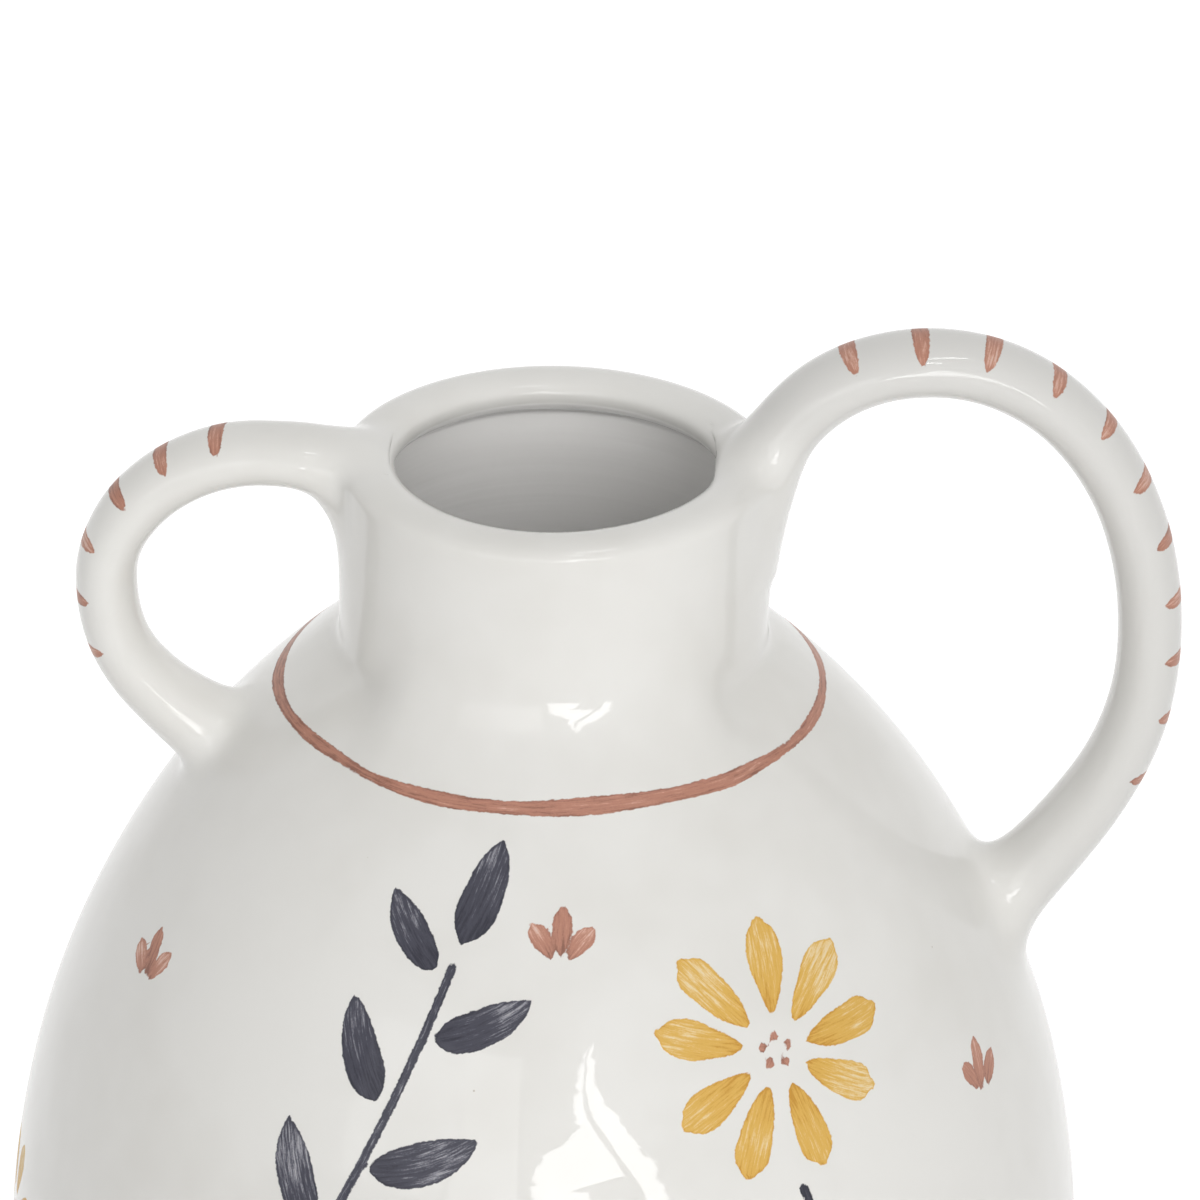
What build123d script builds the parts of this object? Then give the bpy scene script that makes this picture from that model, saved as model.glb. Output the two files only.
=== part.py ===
"""A two-handled glazed ceramic jar: thrown body, neck collar, foot ring and two unequal loop handles.

Millimetres. The jar stands on z = 0 and its axis is Z. The large handle is on +X and the small one on -X.
"""

import os
from math import cos, radians, sin

from build123d import *

# Whole jar
jar_height = 300.0  # floor to the top of the rim
body_wall = 6.0  # clay thickness of the body, square to its surface

# Body: an ovoid, widest a little above a third of its height
belly_radius = 116.0
belly_level = 109.5  # height of the widest ring above the floor
shoulder_slope = 38.0  # degrees below level, where the shoulder leaves the neck
shoulder_top_pull = 54.0  # how strongly the shoulder holds that slope
shoulder_belly_pull = 57.0  # how strongly it stands upright above the widest ring
lower_belly_pull = 56.0  # the same below the widest ring
lower_foot_pull = 36.0  # how strongly the lower wall holds its slope above the foot
foot_slope = 41.0  # degrees above level, where the lower wall leaves the foot

# Neck: a straight collar under a thick rolled rim that overhangs the inside
neck_height = 43.8  # top of the rim down to the shoulder
neck_radius = 45.0  # outside of the collar
neck_wall = 6.0
neck_root_radius = 5.0  # hollow curve between collar and shoulder
rim_thickness = 11.4  # across the roll
rim_crown_height = 3.5  # rounded top of the roll
rim_underside_height = 5.0  # rounded underside, from the roll's inner edge down to the bore

# Foot: a turned ring under the floor of the body
foot_radius = 62.0
foot_height = 5.0
foot_width = 9.0
foot_flare = 2.5  # how far the ring leans out over its height
foot_edge_radius = 1.5

# Small handle, sized on its midline from the jar's axis and the top of the rim
small_reach = 93.3  # axis to the far side
small_far_drop = 31.0  # rim down to the far side
small_crest_out = 61.0  # axis to the highest point
small_crest_rise = -2.1  # highest point above the rim, here just under it
small_root_inset = 0.5  # start of the loop inside the collar's face
small_root_drop = 5.2  # start of the loop below the rim
small_root_angle = 31.0  # degrees above level, leaving the collar
small_seat_angle = 41.0  # degrees below level, running into the shoulder
small_thickness = 12.6
small_width = 17.2

# Large handle, in the same terms
large_reach = 124.2
large_far_drop = 42.0
large_crest_out = 77.0
large_crest_rise = 21.6
large_root_inset = 2.9
large_root_drop = 1.8
large_root_angle = 67.0
large_seat_angle = 53.0
large_thickness = 13.2
large_width = 18.0

# Both midlines run straight on inside the clay before they end
tail_length = 15.0

# Where each handle lands, as a share of the shoulder's curve from the neck to the widest ring
small_seat_share = 0.208
large_seat_share = 0.470

# How full each span of a midline is: root to crest, crest to far side, far side to seat
small_fullness_shares = (0.36, 0.52, 0.45)
large_fullness_shares = (0.42, 0.57, 0.41)

# Both handles swell where they join the clay. At the root the swelling is all on the inside of the loop.
station_count = 25  # sections along a midline
root_swell_length_share = 0.25  # of the midline
seat_swell_length_share = 0.30
small_root_swell_share = 0.90  # of the thickness, at the very end
small_seat_swell_share = 1.05
large_root_swell_share = 0.31
large_seat_swell_share = 0.49
width_swell_share = 0.8  # how much of the swelling goes into the width
seat_inward_share = 0.2  # how much of the seat's swelling is on the inside of the loop

# Levels and radii that follow
small_side = -1
large_side = 1
neck_foot_level = jar_height - neck_height
neck_foot_radius = neck_radius + neck_root_radius * (1 - sin(radians(shoulder_slope)))
neck_root_level = neck_foot_level + neck_root_radius * cos(radians(shoulder_slope))
bore_radius = neck_radius - neck_wall
rim_level = jar_height - rim_crown_height
rim_crest_radius = neck_radius - rim_thickness / 2
mouth_radius = neck_radius - rim_thickness
body_foot_radius = foot_radius + foot_flare


def heading(degrees):
    """Unit step on the XZ plane, at an angle above level."""
    return Vector(cos(radians(degrees)), sin(radians(degrees)))


upright = heading(90)
neck_foot = Vector(neck_foot_radius, neck_foot_level)
widest = Vector(belly_radius, belly_level)
body_foot = Vector(body_foot_radius, foot_height)
shoulder_points = (
    neck_foot,
    neck_foot + heading(-shoulder_slope) * shoulder_top_pull,
    widest + upright * shoulder_belly_pull,
    widest,
)
lower_points = (
    widest,
    widest - upright * lower_belly_pull,
    body_foot + heading(foot_slope) * lower_foot_pull,
    body_foot,
)

# Outside form of the body, still solid
with BuildPart() as body_form:
    with BuildSketch(Plane.XZ):
        with BuildLine():
            shoulder = Bezier(*shoulder_points)
            lower_wall = Bezier(*lower_points)
            Polyline(body_foot, (0, foot_height), (0, neck_foot_level), neck_foot)
        make_face()
    revolve(axis=Axis.Z)

# Body shell: that form hollowed to an even wall and opened at the throat
with BuildPart() as body_shell:
    add(body_form.part)
    throat = faces().sort_by(Axis.Z)[-1]
    offset(amount=-body_wall, openings=throat)
    with BuildSketch(Plane.XY.offset(neck_foot_level)):
        Circle(bore_radius)
    extrude(amount=-body_wall, mode=Mode.SUBTRACT)
body_shell.part.label = "body_shell"

# Outside form of the neck and rim, still solid
with BuildPart() as neck_form:
    with BuildSketch(Plane.XZ):
        with BuildLine():
            root = CenterArc(
                (neck_radius + neck_root_radius, neck_root_level), neck_root_radius, 180, 90 - shoulder_slope
            )
            Line((neck_radius, neck_root_level), (neck_radius, rim_level))
            EllipticalCenterArc(
                (rim_crest_radius, rim_level),
                rim_thickness / 2,
                rim_crown_height,
                start_angle=0,
                arc_size=180,
            )
            Polyline((mouth_radius, rim_level), (0, rim_level), (0, neck_foot_level), root @ 1)
        make_face()
    revolve(axis=Axis.Z)

# Neck collar: the form bored out, with the roll's rounded underside left overhanging the bore
with BuildPart() as neck_collar:
    add(neck_form.part)
    with BuildSketch(Plane.XZ):
        with BuildLine():
            EllipticalCenterArc(
                (bore_radius, rim_level),
                bore_radius - mouth_radius,
                rim_underside_height,
                start_angle=180,
                arc_size=90,
            )
            Polyline(
                (bore_radius, rim_level - rim_underside_height),
                (bore_radius, neck_foot_level),
                (0, neck_foot_level),
                (0, rim_level),
                (mouth_radius, rim_level),
            )
        make_face()
    revolve(axis=Axis.Z, mode=Mode.SUBTRACT)
neck_collar.part.label = "neck_collar"

# Foot ring: leaning outer wall in line with the body, flat underside with softened edges
with BuildPart() as foot_ring:
    with BuildSketch(Plane.XZ):
        with BuildLine():
            Polyline(
                (foot_radius - foot_width, 0),
                (foot_radius, 0),
                (body_foot_radius, foot_height),
                (foot_radius - foot_width, foot_height),
                close=True,
            )
        make_face()
        fillet(vertices().group_by(Axis.Y)[0], radius=foot_edge_radius)
    revolve(axis=Axis.Z)
foot_ring.part.label = "foot_ring"


def loop_midline(side, root, crest, far, seat, root_angle, seat_angle, fullness_shares):
    """Midline of a loop: out of the neck, over its crest, round its far side and into the shoulder.

    Points are (out from the axis, height). The tails at both ends lie inside the clay.
    """
    rising = heading(root_angle)
    landing = heading(180 + seat_angle)
    outward = heading(0)
    rise_share, bend_share, fall_share = fullness_shares
    spans = (
        (root - rising * tail_length, root),
        (
            root,
            root + rising * ((crest - root).length * rise_share),
            crest - outward * ((crest.X - root.X) * rise_share),
            crest,
        ),
        (
            crest,
            crest + outward * ((far.X - crest.X) * bend_share),
            far + upright * ((crest.Y - far.Y) * bend_share),
            far,
        ),
        (
            far,
            far - upright * ((far.Y - seat.Y) * fall_share),
            seat - landing * ((seat - far).length * fall_share),
            seat,
        ),
        (seat, seat + landing * tail_length),
    )
    with BuildLine(Plane.XZ) as midline:
        for span in spans:
            Bezier(*[(side * point.X, point.Y) for point in span])
    return midline.wire()


def swelling(distance_share, length_share):
    """From 1 at the very end of a midline down to 0, gently, where the swelling stops."""
    return max(0, 1 - distance_share / length_share) ** 2


def loop_sections(side, midline, thickness, width, root_swell_share, seat_swell_share):
    """Oval sections across a midline, from the neck to the shoulder."""
    sections = []
    for station in range(station_count):
        along = station / (station_count - 1)
        root_growth = root_swell_share * swelling(along, root_swell_length_share)
        seat_growth = seat_swell_share * swelling(1 - along, seat_swell_length_share)
        growth = root_growth + seat_growth
        inward = (root_growth + seat_growth * seat_inward_share) * thickness / 2
        across = Plane(origin=midline @ along, x_dir=(0, side, 0), z_dir=midline % along)
        with BuildSketch(across) as section:
            with Locations((0, -inward)):
                Ellipse(width / 2 * (1 + width_swell_share * growth), thickness / 2 * (1 + growth))
        sections.append(section.sketch)
    return sections


small_midline = loop_midline(
    side=small_side,
    root=Vector(neck_radius - small_root_inset, jar_height - small_root_drop),
    crest=Vector(small_crest_out, jar_height + small_crest_rise),
    far=Vector(small_reach, jar_height - small_far_drop),
    seat=shoulder @ small_seat_share,
    root_angle=small_root_angle,
    seat_angle=small_seat_angle,
    fullness_shares=small_fullness_shares,
)
large_midline = loop_midline(
    side=large_side,
    root=Vector(neck_radius - large_root_inset, jar_height - large_root_drop),
    crest=Vector(large_crest_out, jar_height + large_crest_rise),
    far=Vector(large_reach, jar_height - large_far_drop),
    seat=shoulder @ large_seat_share,
    root_angle=large_root_angle,
    seat_angle=large_seat_angle,
    fullness_shares=large_fullness_shares,
)

# Small handle: trimmed to sit on the rim, the collar and the shoulder
with BuildPart() as small_handle:
    loft(
        loop_sections(
            small_side,
            small_midline,
            small_thickness,
            small_width,
            small_root_swell_share,
            small_seat_swell_share,
        )
    )
    add(neck_form.part, mode=Mode.SUBTRACT)
    add(body_form.part, mode=Mode.SUBTRACT)
small_handle.part.label = "small_handle"

# Large handle: the same, rising above the rim
with BuildPart() as large_handle:
    loft(
        loop_sections(
            large_side,
            large_midline,
            large_thickness,
            large_width,
            large_root_swell_share,
            large_seat_swell_share,
        )
    )
    add(neck_form.part, mode=Mode.SUBTRACT)
    add(body_form.part, mode=Mode.SUBTRACT)
large_handle.part.label = "large_handle"

os.makedirs("parts", exist_ok=True)
export_step(body_shell.part, "parts/body_shell.step")
export_step(neck_collar.part, "parts/neck_collar.step")
export_step(foot_ring.part, "parts/foot_ring.step")
export_step(small_handle.part, "parts/small_handle.step")
export_step(large_handle.part, "parts/large_handle.step")
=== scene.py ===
"""Two-handled glazed jar with brushed decoration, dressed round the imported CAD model.

The shapes are worked out in millimetres in the CAD frame and written to Blender in metres.
The jar stands on z = 0, the large handle is on +X and the front is -Y.
"""

import math

import bpy
import numpy as np
from mathutils import Matrix, Vector


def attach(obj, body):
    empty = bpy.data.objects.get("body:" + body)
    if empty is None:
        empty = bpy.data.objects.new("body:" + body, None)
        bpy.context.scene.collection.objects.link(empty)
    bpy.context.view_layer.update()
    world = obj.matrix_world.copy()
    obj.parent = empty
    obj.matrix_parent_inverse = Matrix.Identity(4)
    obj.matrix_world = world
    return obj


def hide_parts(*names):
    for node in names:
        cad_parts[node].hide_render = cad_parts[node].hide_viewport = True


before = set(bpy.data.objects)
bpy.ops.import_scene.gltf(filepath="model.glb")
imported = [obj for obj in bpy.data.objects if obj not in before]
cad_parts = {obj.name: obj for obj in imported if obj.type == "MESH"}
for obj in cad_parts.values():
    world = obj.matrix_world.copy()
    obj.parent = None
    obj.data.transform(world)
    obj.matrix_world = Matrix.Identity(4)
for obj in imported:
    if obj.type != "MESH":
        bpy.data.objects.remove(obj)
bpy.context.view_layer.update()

MILLIMETRE = 0.001

# Sizes of the jar, as in the CAD source
jar_height = 300.0
body_wall = 6.0
belly_radius = 116.0
belly_level = 109.5
shoulder_slope = math.radians(38.0)
shoulder_top_pull = 54.0
shoulder_belly_pull = 57.0
lower_belly_pull = 56.0
lower_foot_pull = 36.0
foot_slope = math.radians(41.0)
neck_height = 43.8
neck_radius = 45.0
neck_wall = 6.0
neck_root_radius = 5.0
rim_thickness = 11.4
rim_crown_height = 3.5
rim_underside_height = 5.0
foot_radius = 62.0
foot_height = 5.0
foot_width = 9.0
foot_flare = 2.5
foot_edge_radius = 1.5

# Levels and radii that follow
neck_foot_level = jar_height - neck_height
neck_foot_radius = neck_radius + neck_root_radius * (1 - math.sin(shoulder_slope))
neck_root_level = neck_foot_level + neck_root_radius * math.cos(shoulder_slope)
bore_radius = neck_radius - neck_wall
rim_level = jar_height - rim_crown_height
rim_crest_radius = neck_radius - rim_thickness / 2
mouth_radius = neck_radius - rim_thickness
body_foot_radius = foot_radius + foot_flare
floor_level = foot_height + body_wall

# Meshes
column_count = 480
net_cell = 0.9
table_step = 0.4
table_margin = 16.0
outline_step = 0.35
midline_step = 0.6
search_stride = 8
batch_size = 20000
skin_depth = 3.2
skin_lift = 0.04
tail_length = 20.0

# Soft clay under the neck: how far it reaches at the front, and how little beside the handles
root_filling_reach = 30.0
root_filling_least = 4.0
beside_from_share = 0.6
beside_over_share = 0.32

# The cut that keeps a handle out of the mouth: its flare, the clay kept on the collar, and its softness
mouth_flare_share = 0.6
collar_cover = 3.0
mouth_cut_share = 0.85
mouth_cut_blend = 5.0

# Heights of the waves in the wall, how far it is set back for them, and the levels over which they grow
wall_waves = (0.16, 0.10, 0.05, 0.05)
wall_set_back = 0.36
wall_waves_from = 12.0
wall_waves_over = 30.0

# The same for the rise and fall of the rim
rim_waves = (0.55, 0.35, 0.18)
rim_waves_from = 240.0
rim_waves_over = 55.0

rng = np.random.default_rng(7)


# Plane curves


def heading(angle):
    """Unit step in the plane, at an angle above level in radians."""
    return np.array([math.cos(angle), math.sin(angle)])


def bezier(points, count):
    """Points along a cubic Bezier curve."""
    t = np.linspace(0, 1, count)[:, None]
    a, b, c, d = (np.array(p, float) for p in points)
    return (1 - t) ** 3 * a + 3 * (1 - t) ** 2 * t * b + 3 * (1 - t) * t**2 * c + t**3 * d


def arc(centre, radii, start, end, count):
    """Points along an arc of an ellipse, angles in degrees."""
    t = np.radians(np.linspace(start, end, count))
    return np.stack([centre[0] + radii[0] * np.cos(t), centre[1] + radii[1] * np.sin(t)], 1)


def joined(*lines):
    """Lines that follow on from each other, as one."""
    return np.concatenate([lines[0]] + [line[1:] for line in lines[1:]])


def along_line(line):
    """How far along a line each of its points is."""
    return np.concatenate([[0], np.cumsum(np.linalg.norm(np.diff(line, axis=0), axis=1))])


def read_off(line, along, marks):
    """Points of a line at given distances along it."""
    return np.stack([np.interp(marks, along, column) for column in line.T], -1)


def respaced(line, spacing):
    """The same line with evenly spaced points."""
    line = np.array(line, float)
    along = along_line(line)
    count = max(2, int(round(along[-1] / spacing)) + 1)
    return read_off(line, along, np.linspace(0, along[-1], count))


def unit(vectors):
    return vectors / np.maximum(np.linalg.norm(vectors, axis=-1), 1e-12)[..., None]


def turned_left(steps):
    """Plane vectors turned a quarter to the left."""
    return np.stack([-steps[:, 1], steps[:, 0]], 1)


def nearest(points, line):
    """Signed distance to a line in the plane, positive on its left, the place along it and any overshoot.

    The normals turn evenly from point to point, so the result has no facets.
    """
    seg = np.diff(line, axis=0)
    length = np.linalg.norm(seg, axis=1)
    along = along_line(line)
    step = unit(seg)
    left = turned_left(step)
    corner = unit(np.concatenate([left[:1], left[:-1] + left[1:], left[-1:]]))
    marks = np.arange(0, len(seg), search_stride)
    window = np.arange(-search_stride, search_stride + 1)
    out = []
    for start in range(0, len(points), batch_size):
        p = points[start : start + batch_size]
        rough = ((p[:, None, :] - line[None, marks, :]) ** 2).sum(2).argmin(1)
        near = np.clip(marks[rough][:, None] + window, 0, len(seg) - 1)
        gap = p[:, None, :] - line[near]
        t = np.clip((gap * step[near]).sum(2) / length[near], 0, 1)
        best = ((gap - t[..., None] * seg[near]) ** 2).sum(2).argmin(1)
        rows = np.arange(len(p))
        i, t = near[rows, best], t[rows, best]
        n = unit(corner[i] * (1 - t)[:, None] + corner[i + 1] * t[:, None])
        offset = p - line[i] - seg[i] * t[:, None]
        side = (offset * n).sum(1)
        over = np.abs(offset[:, 0] * n[:, 1] - offset[:, 1] * n[:, 0])
        at_end = ((i == 0) & (t <= 0)) | ((i == len(seg) - 1) & (t >= 1))
        out.append(np.stack([side, along[i] + t * length[i], np.where(at_end, over, 0)], 1))
    return np.concatenate(out)


class Table:
    """Values on a plane grid, read back between its points."""

    def __init__(self, low, high, make):
        self.low = np.array(low, float)
        count = np.ceil((np.array(high) - self.low) / table_step).astype(int) + 1
        a = self.low[0] + table_step * np.arange(count[0])
        b = self.low[1] + table_step * np.arange(count[1])
        grid = np.stack(np.meshgrid(a, b, indexing="ij"), -1)
        self.values = make(grid.reshape(-1, 2)).reshape(count[0], count[1], -1)

    def __call__(self, a, b):
        u = np.clip((a - self.low[0]) / table_step, 0, self.values.shape[0] - 1.001)
        v = np.clip((b - self.low[1]) / table_step, 0, self.values.shape[1] - 1.001)
        i, j = u.astype(int), v.astype(int)
        u, v = (u - i)[..., None], (v - j)[..., None]
        low = self.values[i, j] * (1 - u) + self.values[i + 1, j] * u
        high = self.values[i, j + 1] * (1 - u) + self.values[i + 1, j + 1] * u
        return low * (1 - v) + high * v


# Outline of the turned jar, from the foot up


neck_foot = np.array([neck_foot_radius, neck_foot_level])
widest = np.array([belly_radius, belly_level])
body_foot = np.array([body_foot_radius, foot_height])
upright = heading(math.pi / 2)
lower_curve = bezier(
    (
        body_foot,
        body_foot + heading(foot_slope) * lower_foot_pull,
        widest - upright * lower_belly_pull,
        widest,
    ),
    400,
)
shoulder_curve = bezier(
    (
        widest,
        widest + upright * shoulder_belly_pull,
        neck_foot + heading(-shoulder_slope) * shoulder_top_pull,
        neck_foot,
    ),
    400,
)
root_curve = arc(
    (neck_radius + neck_root_radius, neck_root_level),
    (neck_root_radius, neck_root_radius),
    270 - math.degrees(shoulder_slope),
    180,
    60,
)
collar_line = np.array([[neck_radius, neck_root_level], [neck_radius, rim_level]])
crown_curve = arc((rim_crest_radius, rim_level), (rim_thickness / 2, rim_crown_height), 0, 180, 200)
underside_radii = (bore_radius - mouth_radius, rim_underside_height)
underside_curve = arc((bore_radius, rim_level), underside_radii, 180, 270, 100)
bore_line = np.array([[bore_radius, rim_level - rim_underside_height], [bore_radius, neck_foot_level]])
upper_wall = joined(shoulder_curve, root_curve, collar_line)
outer_wall = joined(lower_curve, upper_wall)


def inner_wall():
    """Inside of the body, an even wall in from the outside, from the bore down to the floor."""
    line = joined(lower_curve, shoulder_curve)
    inside = line + body_wall * turned_left(unit(np.gradient(line, axis=0)))
    keep = (inside[:, 0] > bore_radius) & (inside[:, 1] > floor_level)
    return np.concatenate([[[bore_radius, neck_foot_level]], inside[keep][::-1]])


# Unevenness left by hand


def eased(t):
    t = np.clip(t, 0, 1)
    return t * t * (3 - 2 * t)


def unevenness(angle, level):
    """How far the wall stands out and up from true, in millimetres. Never outwards on the belly."""
    two, three, five, wandering = wall_waves
    out = two * np.cos(2 * angle + 0.6) + three * np.cos(3 * angle - 1.1 + level / 60)
    out = out + five * np.cos(5 * angle + level / 31)
    out = out + wandering * np.cos(level / 9.0 + 2 * np.sin(angle)) - wall_set_back
    low = np.clip((level - wall_waves_from) / wall_waves_over, 0, 1)
    one, two, three = rim_waves
    rise = one * np.cos(angle - 0.5) + two * np.cos(2 * angle + 0.9) + three * np.cos(3 * angle + 2.0)
    return out * low, np.clip((level - rim_waves_from) / rim_waves_over, 0, 1) * rise


def root_filling(angle, level):
    """Extra clay in the hollow under the neck, full at the front and back and none beside the handles."""
    beside = eased((np.abs(np.cos(angle)) - beside_from_share) / beside_over_share)
    reach = root_filling_reach + (root_filling_least - root_filling_reach) * beside
    shoulder = np.where(
        level > neck_foot_level,
        neck_foot_radius - (level - neck_foot_level) / math.tan(shoulder_slope),
        np.interp(level, shoulder_curve[:, 1], shoulder_curve[:, 0]),
    )
    soft = np.maximum(0, 1 - np.abs(shoulder - neck_radius) / reach) ** 3 * reach / 6
    sharp = np.interp(level, upper_wall[:, 1], upper_wall[:, 0])
    return np.where(level > widest[1], np.maximum(shoulder, neck_radius) + soft - sharp, 0)


def made_uneven(radius, level, angle):
    """Radius and level of points on the turned outline, as the hand left them."""
    out, rise = unevenness(angle, level)
    outside = eased((radius - bore_radius - 1) / (neck_wall - 2))
    return radius + out + root_filling(angle, level) * outside, level + rise


# Distances


clay_outline = respaced(
    joined(shoulder_curve, root_curve, collar_line, crown_curve, underside_curve, bore_line), outline_step
)
clay_table = Table((20.0, 126.0), (126.0, 322.0), lambda points: -nearest(points, clay_outline)[:, :1])


def clay(p):
    """Distance of points in space from the turned clay."""
    angle = np.arctan2(p[:, 1], p[:, 0])
    out, rise = unevenness(angle, p[:, 2])
    out = out + root_filling(angle, p[:, 2])
    return clay_table(np.hypot(p[:, 0], p[:, 1]) - out, p[:, 2] - rise)[:, 0]


def swelling(distance_share, length_share):
    return np.maximum(0, 1 - distance_share / length_share) ** 2


class Loop:
    """A handle: an oval section carried round a midline in the XZ plane."""

    def __init__(
        self, side, root, crest, far, seat, angles, fullness_shares, thickness, width, swells, lean_share,
        blends, pinch, clearance
    ):
        self.side, self.thickness, self.width = side, thickness, width
        self.swells, self.lean_share = swells, lean_share
        self.blends, self.pinch, self.clearance = blends, pinch, clearance
        rising = heading(math.radians(angles[0]))
        landing = heading(math.radians(180 + angles[1]))
        outward = heading(0)
        rise, bend, fall = fullness_shares
        root, crest, far, seat = (np.array(p, float) for p in (root, crest, far, seat))
        after_root = root + rising * (np.linalg.norm(crest - root) * rise)
        before_crest = crest - outward * ((crest[0] - root[0]) * rise)
        after_crest = crest + outward * ((far[0] - crest[0]) * bend)
        before_far = far + upright * ((crest[1] - far[1]) * bend)
        after_far = far - upright * ((far[1] - seat[1]) * fall)
        before_seat = seat - landing * (np.linalg.norm(seat - far) * fall)
        spans = [
            np.array([root - rising * tail_length, root]),
            bezier((root, after_root, before_crest, crest), 90),
            bezier((crest, after_crest, before_far, far), 90),
            bezier((far, after_far, before_seat, seat), 90),
            np.array([seat, seat + landing * tail_length]),
        ]
        self.midline = respaced(joined(*spans), midline_step)
        self.length = along_line(self.midline)[-1]
        reach = thickness + table_margin
        self.table = Table(
            self.midline.min(0) - reach,
            self.midline.max(0) + reach,
            lambda points: nearest(points, self.midline),
        )

    def section(self, along):
        """Half thickness, half width and shift towards the loop's inside, at a share of the way along."""
        root = self.swells[0] * swelling(along, 0.25)
        seat = self.swells[1] * swelling(1 - along, 0.34)
        uneven = 1 + 0.012 * np.sin(along * 23 + self.side) + 0.008 * np.sin(along * 47)
        half = self.thickness / 2 * (1 + root + seat) * np.minimum(uneven, 1.0)
        wide = self.width / 2 * (1 + 0.8 * root + 0.6 * seat) * (2 - np.maximum(uneven, 1.0))
        return half, wide, (root + seat * self.lean_share) * self.thickness / 2

    def distance(self, p):
        """Distance from the tube's surface, about true near it, and the share of the way along it."""
        found = self.table(self.side * p[:, 0], p[:, 2])
        along = found[:, 1] / self.length
        half, wide, shift = self.section(along)
        u, v = found[:, 0] + shift, p[:, 1]
        f = np.sqrt((u / half) ** 2 + (v / wide) ** 2) + 1e-6
        slope = np.sqrt((u / half**2) ** 2 + (v / wide**2) ** 2) / f + 1e-6
        tube = (f - 1) / slope + found[:, 2]
        flared = mouth_radius + self.clearance + (jar_height - p[:, 2]) * mouth_flare_share
        mouth = np.minimum(flared, neck_radius - collar_cover) - np.hypot(p[:, 0], p[:, 1])
        return -smooth_union(-tube, -mouth_cut_share * mouth, mouth_cut_blend), along

    def reach(self, along, p):
        """Width of the fillet into the clay: tighter beside the root, and none on the lip's inside."""
        t = eased((along - 0.35) / 0.3)
        beside = (1 - t) * self.pinch * eased(np.abs(p[:, 1]) / self.width - 0.1)
        radius = np.hypot(p[:, 0], p[:, 1])
        on_lip = eased((rim_level + 3.0 - p[:, 2]) / 2.6) * eased((rim_crest_radius + 0.5 - radius) / 3)
        reach = self.blends[0] * (1 - t) * (1 - beside) + self.blends[1] * t
        return np.maximum(reach * (1 - on_lip), 2.0)

    def surface(self, along, turn):
        """Points on the tube. The turn is in degrees from the outside of the loop towards the front."""
        at = along_line(self.midline) / self.length
        step = read_off(unit(np.gradient(self.midline, axis=0)), at, along)
        half, wide, shift = self.section(along)
        t = np.radians(turn)
        place = read_off(self.midline, at, along) + turned_left(step) * (half * np.cos(t) - shift)[:, None]
        return np.stack([self.side * place[:, 0], -wide * np.sin(t), place[:, 1]], 1)


def at_share(line, share):
    """The point a share of the way along a line, counted from its last point."""
    along = along_line(line) / along_line(line)[-1]
    return read_off(line, along, 1 - share)


small_loop = Loop(
    side=-1,
    root=(44.5, 294.8),
    crest=(61.0, 297.9),
    far=(93.3, 269.0),
    seat=at_share(shoulder_curve, 0.208),
    angles=(31.0, 41.0),
    fullness_shares=(0.36, 0.52, 0.45),
    thickness=12.6,
    width=17.2,
    swells=(0.45, 1.1),
    lean_share=0.64,
    blends=(13.0, 8.0),
    pinch=0.55,
    clearance=6.0,
)
large_loop = Loop(
    side=1,
    root=(42.1, 298.2),
    crest=(77.0, 321.5),
    far=(124.17, 258.0),
    seat=at_share(shoulder_curve, 0.470),
    angles=(67.0, 53.0),
    fullness_shares=(0.42, 0.57, 0.41),
    thickness=13.2,
    width=18.0,
    swells=(0.2, 0.45),
    lean_share=0.5,
    blends=(14.0, 15.0),
    pinch=0.1,
    clearance=2.2,
)


def smooth_union(a, b, reach):
    """The nearer of two distances, with a soft fillet between them."""
    h = np.maximum(reach - np.abs(a - b), 0) / reach
    return np.minimum(a, b) - h**3 * reach / 6


def blended(loop, p):
    tube, along = loop.distance(p)
    return smooth_union(clay(p), tube, loop.reach(along, p)) - skin_lift


def slope_of(function, p, step=0.25):
    """Gradient of a function at points, by central differences."""
    out = np.empty_like(p)
    for axis in range(3):
        shift = np.zeros(3)
        shift[axis] = step
        out[:, axis] = (function(p + shift) - function(p - shift)) / (2 * step)
    return out


# Handle meshes


def cells_round(base, b, c, shifts):
    """The cells round grid edges: their first points, shifted back along the two axes across the edge."""
    for shift in shifts:
        home = base.copy()
        home[:, [b, c]] -= shift
        yield home


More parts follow.
